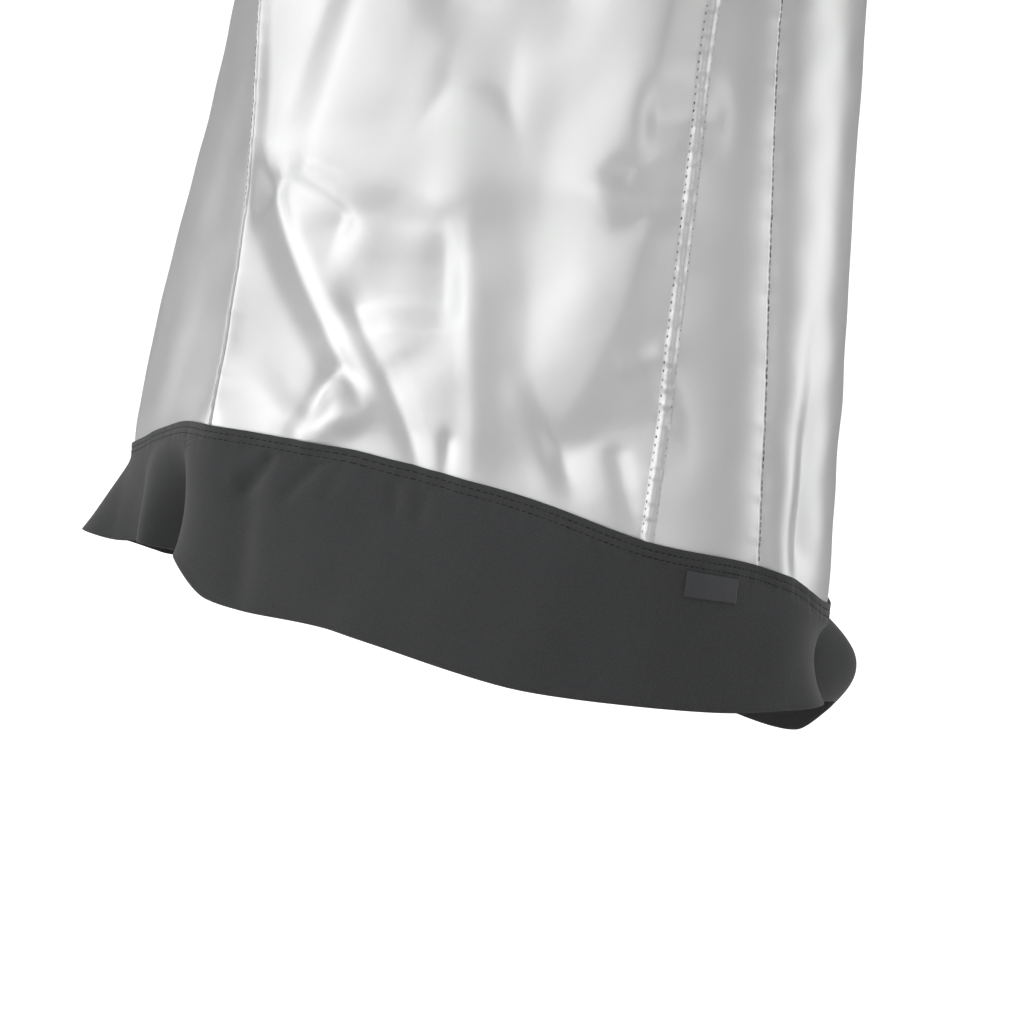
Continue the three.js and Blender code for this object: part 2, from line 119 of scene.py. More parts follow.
# Folds of the front: from one place to another, x across and rise up the cloth.
# "out" is the height, "before" and "after" the widths of its two sides, "fade" how far
# it runs on past its ends, and "crisp" how flat its sides are, from 0 (round) to 1.
Fold = namedtuple("Fold", "x1 rise1 x2 rise2 bow out before after fade crisp")
FOLDS = {
    "sag": Fold(92, 345, 118, -10, 0, -6, 130, 72, 20, 0.6),
    "upper ridge": Fold(-48, 345, -80, 195, 0, 6.5, 36, 56, 14, 0.5),
    "upper foot": Fold(-90, 345, -117, 189, 0, -4.5, 42, 36, 15, 0.4),
    "hollow crest": Fold(-106, 178, 20, 156, -12, 4, 26, 50, 34, 0.5),
    "pinch": Fold(-106, 175, -50, 158, 2, -5.5, 34, 10, 14, 0.6),
    "left hollow": Fold(-110, 175, -40, 40, -6, -4, 46, 80, 20, 0),
    "long valley": Fold(-112, 166, -4, 32, -6.7, -3, 14, 13, 10, 0.6),
    "long shoulder": Fold(-128, 153, -20, 19, -6, 4, 40, 19, 12, 0.6),
    "long ridge": Fold(-95, 168, -5, 58, -6.5, 2.5, 14, 60, 15, 0.4),
    "hollow": Fold(-42, 150, -22, 100, 0, -3.5, 40, 60, 16, 0.3),
    "lens": Fold(36, 158, 42, 112, 0, -7, 60, 22, 18, 0.5),
    "second valley": Fold(-27, 94, 48, 0, 3, -3.6, 12, 18, 20, 0.5),
    "left petal": Fold(-68, 15, -52, 4, 0, 6.5, 26, 18, 40, 0.6),
    "band pinch": Fold(-34, 48, -52, 2, 0, -4, 12, 16, 8, 0.5),
    "right petal": Fold(-46, 6, -2, 28, 3, 2.7, 16, 22, 10, 0.5),
    "petal top": Fold(-28, 44, -3, 29, 0, 3, 24, 10, 8, 0.5),
    "dome top": Fold(25, 251, 67, 250, 9, -1.5, 14, 40, 14, 0.3),
    "dome swell": Fold(44, 240, 50, 190, 0, 1, 24, 26, 20, 0),
    "middle ridge": Fold(38, 170, 92, 0, 9, 1.7, 13, 18, 12, 0.5),
    "middle valley": Fold(100, 150, 134, 0, 4, -3, 38, 44, 40, 0.5),
    "broad ridge": Fold(181, 174, 150, 60, 6, 4.5, 46, 24, 22, 0.6),
    "seam ridge": Fold(171, 345, 165, 198, 0, 6, 56, 22, 16, 0.6),
    "facet": Fold(150, 35, 208, 76, 0, -8, 36, 52, 12, 0.8),
    "bright triangle": Fold(184, 97, 208, 112, 0, 1.2, 8, 8, 6, 0.4),
    "seam dart": Fold(176, 243, 206, 249, 0, -5, 30, 26, 9, 0.8),
    "diamond": Fold(168, 214, 194, 208, 0, -1.3, 18, 22, 10, 0.7),
    "wedge": Fold(162, 208, 174, 184, 0, -4, 18, 24, 9, 0.6),
    "top hollow": Fold(16, 306, 100, 309, -8, -4, 30, 34, 26, 0.7),
    "valley line": Fold(-112, 166, -4, 32, -6.7, -0.6, 5, 4, 8, 0.7),
    "second line": Fold(-27, 94, 48, 0, 3, -0.8, 4, 6, 10, 0.7),
    "cross crease": Fold(0, 83, 54, 92, 1, 0.3, 3, 3, 6, 0),
    "small pleat": Fold(68, 20, 72, -8, 0, -2.5, 7, 7, 8, 0.3),
    "patch streak": Fold(188, 44, 206, 8, 0, -2, 9, 9, 6, 0.2),
    "upper left": Fold(-70, 880, -120, 440, 0, 5, 26, 34, 40, 0),
    "upper middle": Fold(-10, 820, 14, 400, 8, -5, 30, 36, 40, 0),
    "upper right": Fold(62, 900, 118, 430, 0, 5, 34, 26, 40, 0),
}
FOLD_ROUND = 0.02
SEAM_EASE = 3
GUSSET_EASE = 9
BAND_EASE = 24
BAND_HOLD = 0.15

# Upright folds of the sides and back: each keeps to one turn between two heights, with the
# widths of its two sides in degrees, and goes on down the band (1) or dies at its top (0).
BackFold = namedtuple("BackFold", "turn low high out before after in_band")
BACK_FOLDS = {
    "right roll": BackFold(84, -80, 620, 1.5, 8, 8, 1),
    "right crease": BackFold(78.5, 10, 190, -8, 4, 10, 0),
    "right hollow": BackFold(118, -80, 520, -9, 14, 14, 1),
    "back right": BackFold(150, -80, 640, 8, 13, 13, 1),
    "back middle": BackFold(186, -80, 560, -9, 15, 15, 1),
    "back left": BackFold(220, -80, 700, 8, 13, 13, 1),
    "left hollow": BackFold(256, -80, 480, -6, 12, 12, 1),
    "left side": BackFold(290, 20, 260, 4, 11, 11, 0),
}

# The cloth is bent at each seam, out or in, and drawn up in small puckers by its thread.
SeamBend = namedtuple("SeamBend", "seam out spread pucker")
SEAM_BENDS = [
    SeamBend("left", 20, 11, 0.25),
    SeamBend("front", 14, 18, 0.3),
    SeamBend("back", -5, 6, 0.45),
]
BEND_FADE = 700
BEND_ROUND = 0.6
BAND_ROUND = 11
PUCKER_SPREAD = 1.8
PUCKER_LENGTHS = (8.3, 13.1, 19.7)

DENT_SEED = 11
DENT_HEIGHT = 0.5
DENT_LENGTHS = (38, 55, 80, 120)
WAVES_PER_LENGTH = 3


def between(rows, key, at, column):
    """A smooth value between the rows of a table."""
    keys = np.array([getattr(row, key) for row in rows], float)
    values = np.array([getattr(row, column) for row in rows], float)
    before = np.maximum(np.arange(len(keys)) - 1, 0)
    after = np.minimum(np.arange(len(keys)) + 1, len(keys) - 1)
    slopes = (values[after] - values[before]) / (keys[after] - keys[before])
    low = np.clip(np.searchsorted(keys, at, side="right") - 1, 0, len(keys) - 2)
    span = keys[low + 1] - keys[low]
    t = np.clip((at - keys[low]) / span, 0, 1)
    ease = t * t * (3 - 2 * t)
    leave = t * (1 - t) ** 2 * span * slopes[low]
    arrive = t * t * (1 - t) * span * slopes[low + 1]
    return values[low] + (values[low + 1] - values[low]) * ease + leave - arrive


def smooth(t):
    t = np.clip(t, 0, 1)
    return t * t * (3 - 2 * t)


def arch(t):
    return 4 * t * (1 - t)


def rounded(value):
    return np.sign(value) * np.abs(value) ** (2 / ROUNDNESS)


def seam_turn(seam, rise):
    return between(SEAMS, "rise", np.maximum(rise, 0), seam)


def plain_form(turn, rise):
    """The cover without its folds: points for turns in degrees and rises up the cloth."""
    angle = np.radians(turn)
    around = np.mod(turn, 360)
    skirt = list(SKIRT.values())
    top_drop = between(skirt, "turn", around, "top_drop")
    hem_drop = between(skirt, "turn", around, "hem_drop")
    below = np.maximum(0, -rise - LAP) / (BAND_RISE - LAP)
    leaning = around - between(skirt, "turn", around, "lean") * (1 - below)
    dome = np.clip((rise - DOME_START) / DOME_HEIGHT, 0, 1) * (math.pi / 2)
    height = np.minimum(rise, DOME_START) + DOME_HEIGHT * np.sin(dome)
    height = height - top_drop * (1 - smooth(np.maximum(rise, 0) / DROP_FADE))
    hanging = (-top_drop - LAP) * (1 - below) - hem_drop * below
    height = np.where(rise < -LAP, hanging, height)
    reach = between(skirt, "turn", leaning, "reach") * below
    reach = reach + between(skirt, "turn", leaning, "belly") * arch(below)
    level = np.minimum(height, DOME_START)
    left = between(SECTIONS, "rise", level, "left")
    right = between(SECTIONS, "rise", level, "right")
    front = between(SECTIONS, "rise", level, "front")
    back = between(SECTIONS, "rise", level, "back")
    half = np.where(np.sin(angle) < 0, left, right)
    depth = np.where(np.cos(angle) < 0, back, front)
    shrink = np.cos(dome)
    half = np.where(dome > 0, DOME_SEAM_HALF + (half - DOME_SEAM_HALF) * shrink, half)
    depth = depth * shrink
    x = half * rounded(np.sin(angle))
    y = -depth * rounded(np.cos(angle))
    out_x = x / half ** 2
    out_y = np.where(depth > 1, y / np.maximum(depth, 1) ** 2, 0)
    length = np.maximum(np.hypot(out_x, out_y), TINY)
    x = x + out_x / length * reach
    y = y + out_y / length * reach
    return np.stack([x, y, height - TOP_RISE], -1)


def normals_of(form, turn, rise):
    """Directions off a form, from two short steps over it."""
    step_turn, step_rise = 0.25, 1.0
    highest = DOME_START + DOME_HEIGHT
    across = form(turn + step_turn, rise) - form(turn - step_turn, rise)
    up = np.minimum(rise + step_rise, highest)
    down = np.maximum(rise - step_rise, -BAND_RISE)
    normal = np.cross(across, form(turn, up) - form(turn, down))
    length = np.linalg.norm(normal, axis=-1, keepdims=True)
    straight_up = np.array([0.0, 0.0, 1.0])
    return np.where(length > TINY, normal / np.maximum(length, TINY), straight_up)


def fold_profile(aside, crisp):
    """A fold across its run: a soft round form and one with flat sides, mixed."""
    side = 1 - np.sqrt(aside * aside + FOLD_ROUND)
    flat = (side + np.sqrt(side * side + FOLD_ROUND)) / 2
    return (1 - crisp) * np.exp(-aside * aside) + crisp * flat


def folds_at(folds, x, rise):
    """How high the folds of a table stand at x and rise."""
    total = np.zeros_like(x)
    for fold in folds.values():
        run_x, run_rise = fold.x2 - fold.x1, fold.rise2 - fold.rise1
        length = math.hypot(run_x, run_rise)
        along = ((x - fold.x1) * run_x + (rise - fold.rise1) * run_rise) / length ** 2
        aside = ((rise - fold.rise1) * run_x - (x - fold.x1) * run_rise) / length
        aside = aside - fold.bow * arch(along)
        width = np.where(aside < 0, fold.before, fold.after)
        past = np.maximum(np.maximum(-along, along - 1), 0) * length
        fade = np.exp(-((past / fold.fade) ** 2))
        total = total + fold.out * fade * fold_profile(aside / width, fold.crisp)
    return total


def puckers(rise):
    """Small uneven waves along a seam, about 1 high."""
    return sum(np.sin(2 * math.pi * rise / length + length) for length in PUCKER_LENGTHS) / 2


def side_folds(turn, rise):
    """How high the back's folds and the bends at the seams stand."""
    total = np.zeros_like(turn)
    for fold in BACK_FOLDS.values():
        aside = np.mod(turn, 360) - fold.turn
        aside = aside / np.where(aside < 0, fold.before, fold.after)
        fade = 1 - smooth((rise - fold.low) / (fold.high - fold.low))
        fade = fade * np.maximum(fold.in_band, smooth((rise / BAND_EASE + 1) / 2))
        total = total + fold.out * fade * np.exp(-aside * aside)
    for bend in SEAM_BENDS:
        aside = np.mod(turn - seam_turn(bend.seam, rise) + 180, 360) - 180
        fade = 1 - smooth(np.maximum(rise / BEND_FADE, -rise / BAND_RISE))
        edge = BEND_ROUND + BAND_ROUND * smooth((BAND_EASE - rise) / (3 * BAND_EASE))
        away = np.sqrt(aside * aside + edge * edge) - edge
        total = total + bend.out * fade * np.exp(-away / bend.spread)
        drawn = bend.pucker * puckers(rise) * smooth((rise + LAP) / BAND_EASE)
        total = total + drawn * np.exp(-np.abs(aside) / PUCKER_SPREAD)
    return total


def dents(point):
    """Shallow uneven dents all over the cloth, the same on each run."""
    draw = np.random.default_rng(DENT_SEED)
    total = 0
    for length in DENT_LENGTHS:
        for _ in range(WAVES_PER_LENGTH):
            way = draw.normal(size=3)
            way = way / np.linalg.norm(way)
            phase = draw.uniform(0, 2 * math.pi)
            total = total + np.sin(2 * math.pi * (point @ way) / length + phase)
    return total * DENT_HEIGHT / len(DENT_LENGTHS)


def cloth_form(turn, rise):
    """The cover with its folds, before any band, seam or label lies on it."""
    point = plain_form(turn, rise)
    signed = np.mod(turn + 180, 360) - 180
    from_left = (signed - seam_turn("left", rise)) / SEAM_EASE
    past_front = (signed - seam_turn("front", rise)) / GUSSET_EASE
    held = BAND_HOLD + (1 - BAND_HOLD) * smooth((rise / BAND_EASE + 1) / 2)
    near = smooth(from_left) * (1 - smooth(past_front)) * held
    height = side_folds(turn, rise) + near * folds_at(FOLDS, point[..., 0], rise)
    height = height + dents(point)
    return point + normals_of(plain_form, turn, rise) * height[..., None]


def off_cloth(turn, rise, height):
    """Points at a height in millimetres off the cloth, in metres."""
    off = normals_of(cloth_form, turn, rise) * np.asarray(height)[..., None]
    return (cloth_form(turn, rise) + off) * MM


def lay_sheet(name, columns, rises, turns_at, height_at, half=0):
    """A flat cut grid, laid on the cover's form column by column and row by row.

    "half" keeps a panel on its own side of the seam along the top: front -1, back 1.
    """
    rows = len(rises) - 1
    bpy.ops.object.select_all(action="DESELECT")
    bpy.ops.mesh.primitive_grid_add(x_subdivisions=columns, y_subdivisions=rows, size=1)
    sheet = bpy.context.object
    sheet.name = sheet.data.name = name
    flat = np.zeros(len(sheet.data.vertices) * 3)
    sheet.data.vertices.foreach_get("co", flat)
    flat = flat.reshape(-1, 3) + 0.5
    rise = np.interp(flat[:, 1] * rows, np.arange(rows + 1), rises)
    turn = turns_at(flat[:, 0], rise)
    point = off_cloth(turn, rise, height_at(turn, rise))
    if half:
        inside = half * np.maximum(half * point[:, 1], SEAM_GAP / 2 * MM)
        point[:, 1] = np.where(rise >= DOME_START, inside, point[:, 1])
    sheet.data.vertices.foreach_set("co", point.ravel())
    steps = np.linalg.norm(np.diff(point.reshape(rows + 1, -1, 3), axis=1), axis=2)
    across = np.concatenate([np.zeros((rows + 1, 1)), np.cumsum(steps, axis=1)], axis=1)
    across = (across - across.mean(axis=1, keepdims=True)).ravel()
    corners = np.zeros(len(sheet.data.loops), int)
    sheet.data.loops.foreach_get("vertex_index", corners)
    weave = np.stack([across[corners], rise[corners] * MM], -1)
    sheet.data.uv_layers[0].name = "cloth"
    sheet.data.uv_layers[0].data.foreach_set("uv", weave.ravel())
    sheet.data.update()
    bpy.ops.object.shade_smooth()
    return sheet


def thicken(sheet, thickness):
    """Gives a sheet its thickness, inwards from its face."""
    solid = sheet.modifiers.new("thickness", "SOLIDIFY")
    solid.thickness = thickness * MM
    solid.offset = -1
    bpy.ops.object.modifier_apply(modifier=solid.name)


def node(tree, kind, place, **values):
    """Adds a shader node with its inputs set by name."""
    made = tree.nodes.new(kind)
    made.location = place
    for key, value in values.items():
        made.inputs[key.replace("_", " ")].default_value = value
    return made


def new_material(name):
    """A new material, its node tree and its shader."""
    material = bpy.data.materials.new(name)
    material.use_nodes = True
    tree = material.node_tree
    return material, tree, tree.nodes["Principled BSDF"]


def cloud(tree, **values):
    """A soft uneven noise over a piece."""
    place = node(tree, "ShaderNodeTexCoord", (-1100, 0))
    noise = node(tree, "ShaderNodeTexNoise", (-850, 200), **values)
    tree.links.new(place.outputs["Object"], noise.inputs["Vector"])
    return noise.outputs["Fac"]


def threads(tree, way, **values):
    """Threads side by side across a sheet (X) or up it (Y), along its own UV map."""
    place = node(tree, "ShaderNodeUVMap", (-1100, -300))
    place.uv_map = "cloth"
    waves = node(tree, "ShaderNodeTexWave", (-850, -250), **values)
    waves.bands_direction = way
    tree.links.new(place.outputs["UV"], waves.inputs["Vector"])
    return waves.outputs["Fac"]


def plain_weave(tree, warp, weft):
    """Warp and weft together, the higher one showing."""
    higher = node(tree, "ShaderNodeMath", (-600, -400))
    higher.operation = "MAXIMUM"
    tree.links.new(warp, higher.inputs[0])
    tree.links.new(weft, higher.inputs[1])
    return higher.outputs["Value"]


def two_tones(tree, shader, pattern, dark, pale):
    """Colours a piece between two tones by a pattern: each a place on it and a colour."""
    ramp = node(tree, "ShaderNodeValToRGB", (-600, 250))
    for stop, (place, colour) in zip(ramp.color_ramp.elements, (dark, pale)):
        stop.position = place
        stop.color = (*colour, 1)
    tree.links.new(pattern, ramp.inputs["Fac"])
    tree.links.new(ramp.outputs["Color"], shader.inputs["Base Color"])


def raised(tree, shader, pattern, **values):
    """Raises a pattern of threads a little off the face."""
    bump = node(tree, "ShaderNodeBump", (-350, -350), **values)
    tree.links.new(pattern, bump.inputs["Height"])
    tree.links.new(bump.outputs["Normal"], shader.inputs["Normal"])


def silver_cloth():
    """Silver coated cloth: a soft metal sheen over a fine weave, a little uneven."""
    material, tree, shader = new_material("silver_cloth")
    shader.inputs["Metallic"].default_value = 0.85
    uneven = cloud(tree, Scale=9.0, Detail=3.0, Roughness=0.55)
    two_tones(tree, shader, uneven, (0.3, (0.755, 0.765, 0.755)), (0.7, (0.83, 0.835, 0.83)))
    gloss = node(tree, "ShaderNodeMapRange", (-600, 0), To_Min=0.4, To_Max=0.46)
    tree.links.new(uneven, gloss.inputs["Value"])
    tree.links.new(gloss.outputs["Result"], shader.inputs["Roughness"])
    warp = threads(tree, "X", Scale=700.0, Distortion=1.0, Detail=1.0)
    weft = threads(tree, "Y", Scale=600.0, Distortion=1.0, Detail=1.0)
    raised(tree, shader, plain_weave(tree, warp, weft), Strength=0.12, Distance=0.0003)
    return material


def panel_turns(start, end, wrap=0):
    """The turns of a panel between two seams, half a seam gap inside each."""
    def turns_at(across, rise):
        level = np.maximum(rise, 0)
        one_turn = plain_form(np.ones_like(level), level) - plain_form(np.zeros_like(level), level)
        edge = SEAM_GAP / 2 / np.linalg.norm(one_turn, axis=-1)
        low = seam_turn(start, rise) + edge
        high = seam_turn(end, rise) + wrap - edge
        return low + (high - low) * across
    return turns_at


def on_cloth(turn, rise):
    return np.zeros_like(turn)


# Rows of the panels' meshes: close together up to where the sharp folds end.
SHARP_RISE = 330
FRONT_STEP = 2.5
FRONT_COLUMNS = 150
LOW_ROWS = np.arange(-LAP, SHARP_RISE, FRONT_STEP)
HIGH_ROWS = np.linspace(SHARP_RISE, DOME_START, 104)
DOME_ROWS = np.linspace(DOME_START, DOME_START + DOME_HEIGHT, 25)[1:]
PANEL_ROWS = np.concatenate([LOW_ROWS, HIGH_ROWS, DOME_ROWS])
silver = silver_cloth()
front_span = panel_turns("left", "front")
front_panel = lay_sheet("front_cloth", FRONT_COLUMNS, PANEL_ROWS, front_span, on_cloth, -1)
thicken(front_panel, SILVER_CLOTH)
front_panel.data.materials.append(silver)
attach(front_panel, "root")
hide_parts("front_panel")

# Right gusset: a narrow gore of the same silver cloth up the right side. It is 68 mm
# wide at the band and runs out to a point under the top, sewn along both edges.
GUSSET_COLUMNS = 26
GUSSET_TIP = 888
gusset_rows = PANEL_ROWS[PANEL_ROWS <= GUSSET_TIP]
gusset_span = panel_turns("front", "back")
gusset = lay_sheet("gusset_cloth", GUSSET_COLUMNS, gusset_rows, gusset_span, on_cloth)
thicken(gusset, SILVER_CLOTH)
gusset.data.materials.append(silver)
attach(gusset, "root")
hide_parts("right_gusset")

# Back panel: one wide piece of the same cloth, round the right end, the back and the left
# end. It is sewn to the gusset on the right, and to the front on the left and along the top.

# Its mesh has wider rows than the front's, and its columns crowd towards the two ends.
BACK_STEP = 3
BACK_COLUMNS = 200
BACK_CROWDING = 0.115
low_back_rows = np.arange(-LAP, SHARP_RISE, BACK_STEP)
back_rows = np.concatenate([low_back_rows, HIGH_ROWS[::2], DOME_ROWS[1::2]])
back_span = panel_turns("back", "left", 360)


def back_turns(across, rise):
    return back_span(across - BACK_CROWDING * np.sin(2 * math.pi * across), rise)


back_panel = lay_sheet("back_cloth", BACK_COLUMNS, back_rows, back_turns, on_cloth, 1)
thicken(back_panel, SILVER_CLOTH)
back_panel.data.materials.append(silver)
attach(back_panel, "root")
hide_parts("back_panel")

# Seams: the front seam is felled into a raised flat strip with a row of needle holes along
# each edge, the left seam is a narrow ridge that sinks in higher up, and the back seam is a
# plain one, drawn in. Strips are laid along the seams, and each stitch is a short dark thread.

# A strip is highest at its "crown", a share of its width, and changes from its low height to
# its high one over FELL_SINKS.
Fell = namedtuple("Fell", "seam width crown low_height high_height high")
FELLS = {
    "front_fell": Fell("front", 9, 0.55, 1.5, 1.3, 905),
    "left_fell": Fell("left", 3, 0.5, 1.3, 0.3, 930),
}
FELL_EDGE = 0.15
FELL_SINKS = 200
FELL_COLUMNS = 10
FELL_STEP = 1.2
FELL_PITCH = 4.8
FELL_UNEVEN = 0.13

# Rows of stitches beside a seam: their pitch, and each stitch's length, width and tone.
StitchRow = namedtuple("StitchRow", "seam aside low high pitch length width tone")
STITCH_ROWS = {
    "front_holes": StitchRow("front", -3.4, 0, 870, FELL_PITCH, 1.6, 1.1, 0.34),
    "front_edge_holes": StitchRow("front", 3.9, 0, 870, FELL_PITCH, 1.4, 0.5, 0.42),
    "left_stitches": StitchRow("left", -0.6, 150, 920, 4.6, 2.6, 0.8, 0.26),
    "back_stitches": StitchRow("back", 0, 0, 850, 4.2, 3.1, 0.8, 0.3),
}
STITCH_LIFT = 0.35
STITCH_ALONG = 5
STITCH_ACROSS = 3
STITCH_SEED = 5
STITCH_STRAY = 0.4
THREAD_DARK = 0.4
THREAD_PALE = 1.8


def turn_per_mm(seam, rise):
    """Degrees of turn for a millimetre across the cloth, at a seam."""
    turn = seam_turn(seam, rise)
    width = np.linalg.norm(plain_form(turn + 0.5, rise) - plain_form(turn - 0.5, rise), axis=-1)
    return 1 / width


def fell_height(fell, turn, rise):
    """A strip's height: flat on top, rounded at its edges, uneven between the stitches."""
    aside = (turn - seam_turn(fell.seam, rise)) / turn_per_mm(fell.seam, rise)
    across = aside / fell.width + 0.5
    lift = fell.low_height + (fell.high_height - fell.low_height) * smooth(rise / FELL_SINKS)
    bumps = FELL_UNEVEN * (np.cos(2 * math.pi * rise / FELL_PITCH) + puckers(rise))
    lift = lift * smooth((rise + LAP) / LAP) * (1 + bumps)
    left_slope = smooth(across / fell.crown)
    right_slope = smooth((1 - across) / (1 - fell.crown))
    return FELL_EDGE + lift * left_slope * right_slope


def lay_fell(name, fell):
    """A strip along a seam, from under the band to its upper end."""
    def turns_at(across, rise):
        aside = (across - 0.5) * fell.width
        return seam_turn(fell.seam, rise) + aside * turn_per_mm(fell.seam, rise)

    def height_at(turn, rise):
        return fell_height(fell, turn, rise)

    rows = np.arange(-LAP / 2, fell.high, FELL_STEP)
    return lay_sheet(name, FELL_COLUMNS, rows, turns_at, height_at)


def patches(name, turns, rises, heights):
    """Many small patches in one mesh, each a grid of turns, rises and heights."""
    point = off_cloth(turns, rises, heights)
    count, along, across = turns.shape
    index = np.arange(count * along * across).reshape(count, along, across)
    corners = [index[:, :-1, :-1], index[:, :-1, 1:], index[:, 1:, 1:], index[:, 1:, :-1]]
    faces = np.stack(corners, -1).reshape(-1, 4)
    mesh = bpy.data.meshes.new(name)
    mesh.from_pydata(point.reshape(-1, 3).tolist(), [], faces.tolist())
    mesh.update()
    piece = bpy.data.objects.new(name, mesh)
    bpy.context.collection.objects.link(piece)
    mesh.shade_smooth()
    return piece


def stitch_grid(places, length, width):
    """Offsets of each stitch's points along and across its row, and its rounded height."""
    start = places[:, None, None]
    along = np.linspace(-0.5, 0.5, STITCH_ALONG)[None, :, None] * length + start
    across = np.linspace(-0.5, 0.5, STITCH_ACROSS)[None, None, :] * width
    along, across = np.broadcast_arrays(along, across)
    middle = 1 - (2 * across / width) ** 2
    ends = 1 - np.abs(2 * (along - start) / length) ** 3
    return along, across, STITCH_LIFT * middle * ends


def seam_stitches(name, row):
    """A row of stitches along a seam, on its strip where it has one."""
    draw = np.random.default_rng(STITCH_SEED)
    places = np.arange(row.low + row.pitch, row.high, row.pitch)
    places = places + draw.uniform(-STITCH_STRAY, STITCH_STRAY, len(places))
    rise, across, height = stitch_grid(places, row.length, row.width)
    turn = seam_turn(row.seam, rise) + (row.aside + across) * turn_per_mm(row.seam, rise)
    for fell in FELLS.values():
        if fell.seam == row.seam:
            height = height + fell_height(fell, turn, rise)
    return patches(name, turn, rise, height)


def grey_thread(name, grey):
    """Grey sewing thread, matt, uneven in tone along its row."""
    material, tree, shader = new_material(f"{name}_thread")
    shader.inputs["Roughness"].default_value = 0.8
    dark, pale = THREAD_DARK * grey, THREAD_PALE * grey
    uneven = cloud(tree, Scale=110.0, Detail=2.0)
    two_tones(tree, shader, uneven, (0.35, (dark, dark, dark)), (0.65, (pale, pale, pale)))
    return material


seam_pieces = {"left": [], "front": [], "back": []}
for name, fell in FELLS.items():
    strip = lay_fell(name, fell)
    strip.data.materials.append(silver)
    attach(strip, "root")
    seam_pieces[fell.seam].append(strip)
for name, row in STITCH_ROWS.items():
    stitches = seam_stitches(name, row)
    stitches.data.materials.append(grey_thread(name, row.tone))
    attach(stitches, "root")
    seam_pieces[row.seam].append(stitches)

# Hem band: a loop of black plain-woven cloth, lapped over the silver's lower edge and
# topstitched to it in two rows, with gathers under the lower row and a plain hem.
# It flares where it hangs free at both ends.
BAND_COLUMNS = 640
BAND_JOIN = 182
BAND_MERGE = 0.00002
BAND_CLOTH = 1.2
BAND_LIFT = 2.4
BAND_FOLDS = {
    "first gather": Fold(-66, -10, -90, -42, 2, -2.4, 7, 6, 8, 0.4),
    "first puff": Fold(-78, -14, -102, -34, 0, 1.4, 8, 8, 6, 0.2),
    "second gather": Fold(-24, -10, -50, -38, 0, -2, 7, 6, 8, 0.4),
    "third gather": Fold(-8, -10, -16, -32, 0, -1, 6, 6, 6, 0.2),
    "fourth gather": Fold(35, -10, 39, -30, 0, -1.5, 5, 5, 7, 0.3),
    "fifth gather": Fold(62, -10, 61, -32, 0, -1.3, 6, 6, 7, 0.3),
    "front hang": Fold(-88, -42, -92, -105, 0, -4, 20, 16, 24, 0.2),
    "front swell": Fold(-40, -60, 10, -110, 0, 2, 40, 46, 24, 0),
    "label hang": Fold(205, -30, 190, -105, 0, -2.5, 30, 30, 24, 0),
}
TOP_STITCHES = {"upper": -4.5, "lower": -9}
STITCH_SINK = 0.4
STITCH_SPREAD = 1.1
GATHER_HEIGHT = 0.3
GATHER_LENGTH = 9
GIRTH_PER_TURN = 3.9
STITCH_PITCH = 4
STITCH_LENGTH = 3
STITCH_WIDTH = 0.9
BAND_THREAD = 0.018

# Rows of its mesh: wide apart where it hangs free, close together over the stitching.
FREE_ROWS = np.linspace(-BAND_RISE, -18, 44)
STITCHED_ROWS = np.linspace(-17, 0, 22)
band_rows = np.concatenate([FREE_ROWS, STITCHED_ROWS])


def band_turns(across, rise):
    return BAND_JOIN + 360 * across


def band_height(turn, rise):
    """The band's own height: its folds, its stitch rows and the small gathers under them."""
    lowest = TOP_STITCHES["lower"]
    front = plain_form(turn, rise)
    loose = smooth((lowest - rise) / GATHER_LENGTH) * (front[..., 1] < 0)
    height = BAND_LIFT + loose * folds_at(BAND_FOLDS, front[..., 0], rise)
    away = np.abs(rise - lowest) / GATHER_LENGTH
    around = np.mod(turn - BAND_JOIN, 360) * GIRTH_PER_TURN
    height = height + GATHER_HEIGHT * puckers(around) * np.exp(-away)
    for row in TOP_STITCHES.values():
        height = height - STITCH_SINK * np.exp(-(((rise - row) / STITCH_SPREAD) ** 2))
    return height


def band_stitches(name, row):
    """A row of stitches round the band."""
    places = np.arange(0, 360, STITCH_PITCH / GIRTH_PER_TURN) * GIRTH_PER_TURN
    around, across, height = stitch_grid(places, STITCH_LENGTH, STITCH_WIDTH)
    turn = around / GIRTH_PER_TURN
    return patches(name, turn, row + across, height + band_height(turn, row + across))


def black_cloth():
    """Matt black cloth with a fine plain weave and a soft nap."""
    material, tree, shader = new_material("black_cloth")
    shader.inputs["Roughness"].default_value = 0.85
    shader.inputs["Sheen Weight"].default_value = 0.25
    shader.inputs["Sheen Roughness"].default_value = 0.5
    nap = cloud(tree, Scale=900.0, Detail=4.0, Roughness=0.8)
    two_tones(tree, shader, nap, (0.3, (0.034, 0.035, 0.037)), (0.75, (0.063, 0.064, 0.067)))
    warp = threads(tree, "X", Scale=380.0, Distortion=1.5, Detail=2.0)
    weft = threads(tree, "Y", Scale=330.0, Distortion=1.5, Detail=2.0)
    raised(tree, shader, plain_weave(tree, warp, weft), Strength=0.35, Distance=0.0004)
    return material


band = lay_sheet("band_cloth", BAND_COLUMNS, band_rows, band_turns, band_height)
bpy.ops.object.mode_set(mode="EDIT")
bpy.ops.mesh.select_all(action="SELECT")
bpy.ops.mesh.remove_doubles(threshold=BAND_MERGE)
bpy.ops.object.mode_set(mode="OBJECT")
thicken(band, BAND_CLOTH)
band.data.materials.append(black_cloth())
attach(band, "root")
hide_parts("hem_band")
for name, row in TOP_STITCHES.items():
    stitches = band_stitches(f"band_stitches_{name}", row)
    stitches.data.materials.append(grey_thread(stitches.name, BAND_THREAD))
    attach(stitches, "root")

